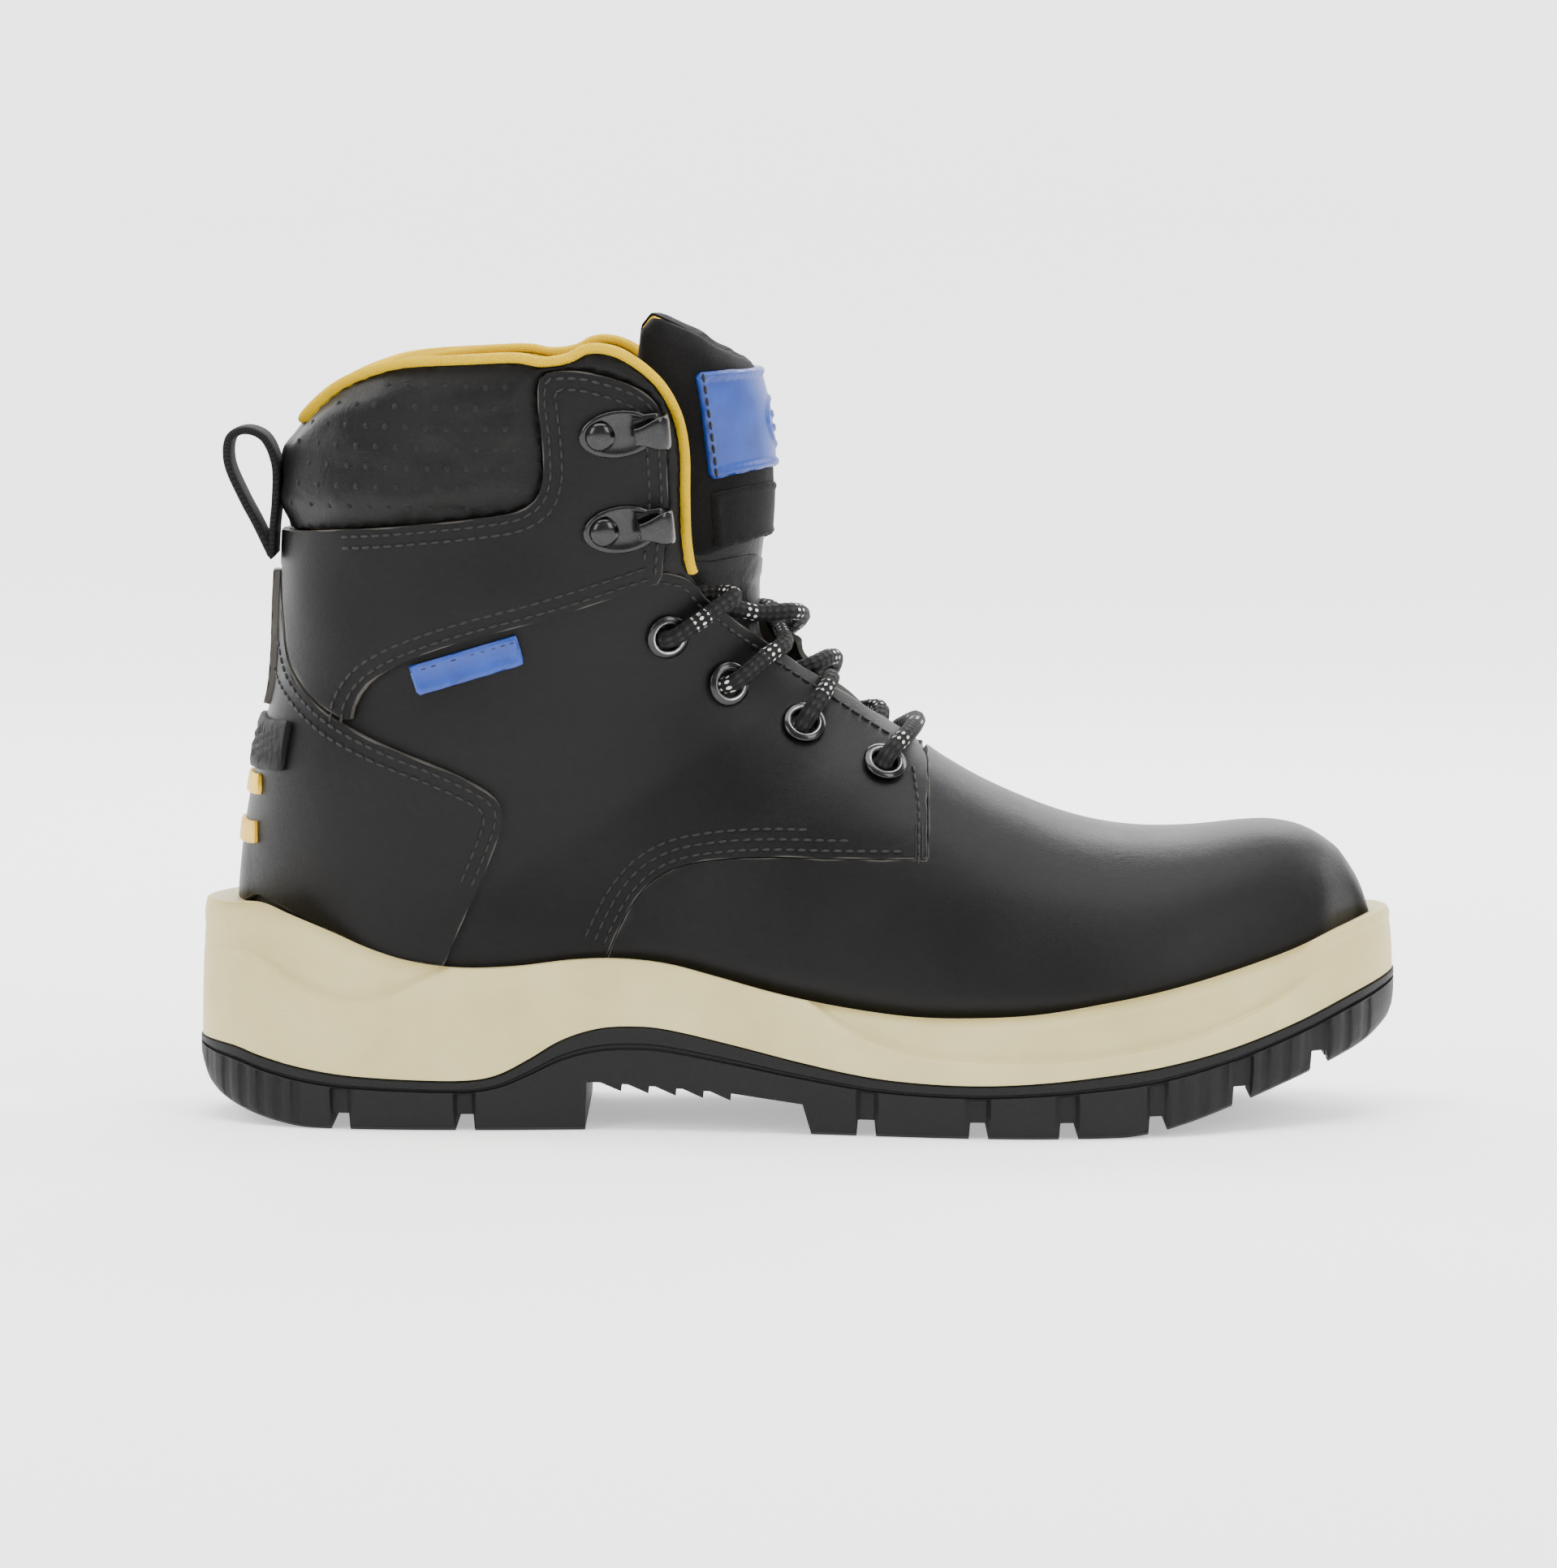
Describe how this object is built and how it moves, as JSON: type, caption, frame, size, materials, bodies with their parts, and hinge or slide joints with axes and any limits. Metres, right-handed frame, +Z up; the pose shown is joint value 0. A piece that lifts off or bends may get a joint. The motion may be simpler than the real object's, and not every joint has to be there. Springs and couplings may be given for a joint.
{
  "type": "lace-up safety boot",
  "caption": "Black leather ankle-high safety boot for the right foot, with lace eyelets and hooks, padded collar and tongue, pull loop and lugged two-part sole.",
  "frame": {"origin": "on the floor, under the middle of the boot's bounding box", "axes": "+X towards the toe, +Y towards the medial (inner) side of the foot, +Z up"},
  "size_m": [0.307, 0.1056, 0.2046],
  "materials": {
    "leather_black": "smooth full-grain, semi-matt",
    "suede_black": "matt nubuck and woven tape",
    "textile_yellow": "matt knitted textile",
    "rubber_yellow": "satin moulded",
    "lining_grey": "matt non-woven",
    "polyurethane_cream": "moulded, semi-matt",
    "rubber_black": "moulded, matt",
    "rubber_blue": "satin moulded",
    "metal_black": "black lacquered, glossy",
    "steel": "plain",
    "board": "pressed fibre board",
    "foam": "foam with textile cover",
    "lace_black": "braided polyester",
    "aglet_black": "glossy film"
  },
  "bodies": {
    "boot": {"vamp": "leather_black", "quarter_lateral": "leather_black", "quarter_medial": "leather_black", "yoke_lateral": "leather_black", "yoke_medial": "leather_black", "heel_counter": "leather_black", "collar_cuff": "leather_black", "tongue_lower": "leather_black", "tongue_gusset": "leather_black", "back_strip": "leather_black", "collar_lining": "textile_yellow", "collar_binding": "textile_yellow", "heel_insert_lower": "rubber_yellow", "heel_insert_upper": "rubber_yellow", "vamp_lining": "lining_grey", "midsole": "polyurethane_cream", "outsole": "rubber_black", "heel_pad": "rubber_black", "eyelet_lateral_1": "metal_black", "eyelet_lateral_2": "metal_black", "eyelet_lateral_3": "metal_black", "eyelet_lateral_4": "metal_black", "eyelet_medial_1": "metal_black", "eyelet_medial_2": "metal_black", "eyelet_medial_3": "metal_black", "eyelet_medial_4": "metal_black", "hook_lateral_1": "metal_black", "hook_lateral_2": "metal_black", "hook_medial_1": "metal_black", "hook_medial_2": "metal_black", "rivet_lateral_1": "metal_black", "rivet_lateral_2": "metal_black", "rivet_medial_1": "metal_black", "rivet_medial_2": "metal_black", "toe_cap": "steel", "midsole_plate": "steel", "washer_lateral_1": "steel", "washer_lateral_2": "steel", "washer_lateral_3": "steel", "washer_lateral_4": "steel", "washer_medial_1": "steel", "washer_medial_2": "steel", "washer_medial_3": "steel", "washer_medial_4": "steel", "insole_board": "board", "heel_stiffener": "board", "footbed": "foam", "collar_foam": "foam", "lace": "lace_black", "aglet_lateral": "aglet_black", "aglet_medial": "aglet_black"},
    "tongue_flap": {"tongue": "suede_black", "tongue_lining": "textile_yellow", "tongue_badge": "rubber_blue", "tongue_label": "suede_black"},
    "pull_loop": {"pull_loop": "suede_black"},
    "side_tag": {"side_tag": "rubber_blue"}
  },
  "joints": [
    {"name": "tongue_tilt", "type": "hinge", "parent": "boot", "child": "tongue_flap", "pos_m": [-0.02, 0, 0.141], "axis": [0, 1, 0], "range_deg": [-14, 12]},
    {"name": "pull_loop_fold", "type": "hinge", "parent": "boot", "child": "pull_loop", "pos_m": [-0.1339, 0.002, 0.1434], "axis": [0, -1, 0], "range_deg": [-3, 75]},
    {"name": "side_tag_flip", "type": "hinge", "parent": "boot", "child": "side_tag", "pos_m": [-0.0841, -0.0378, 0.1215], "axis": [-0.9587, 0.0495, -0.2801], "range_deg": [0, 60]}
  ]
}
